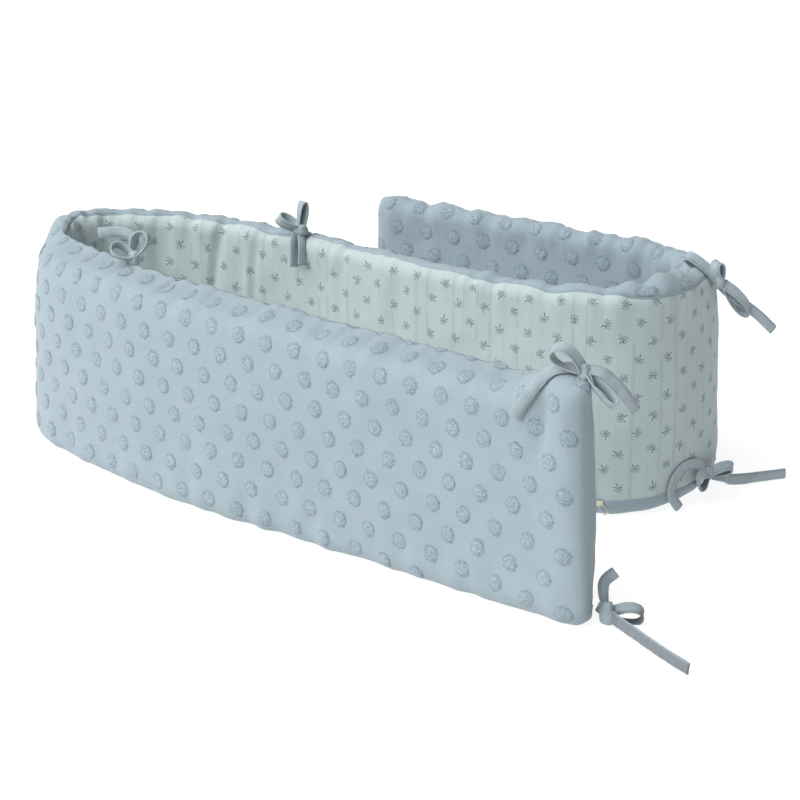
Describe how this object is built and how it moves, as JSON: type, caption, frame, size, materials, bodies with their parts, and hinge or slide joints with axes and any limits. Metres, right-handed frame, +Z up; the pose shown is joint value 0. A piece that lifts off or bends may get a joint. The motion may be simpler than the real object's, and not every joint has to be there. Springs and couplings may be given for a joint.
{
  "type": "cot bumper",
  "caption": "Long padded cot bumper standing in an S, dotted cover one side, printed panel on the other, tied bows along both seams.",
  "frame": {"origin": "on the floor, under the middle of the object's bounding box", "axes": "+X along the near and middle runs of the band towards its near end, +Y from the near run to the far run, +Z up"},
  "size_m": [1.2087, 0.61, 0.3465],
  "materials": {
    "cover": "matt woven cotton with raised tufted dots",
    "print": "matt woven cotton with a small print",
    "tape": "matt woven cotton tape",
    "zip": "cream enamel"
  },
  "bodies": {
    "root": {"pad": "cover", "print_panel": "print", "bow_near_top": "tape", "bow_near_low": "tape", "bow_left_top": "tape", "bow_left_low": "tape", "bow_mid_top": "tape", "bow_mid_low": "tape", "bow_right_top": "tape", "bow_right_low": "tape", "bow_far_top": "tape", "bow_far_low": "tape", "zip_pull": "zip"}
  },
  "joints": []
}
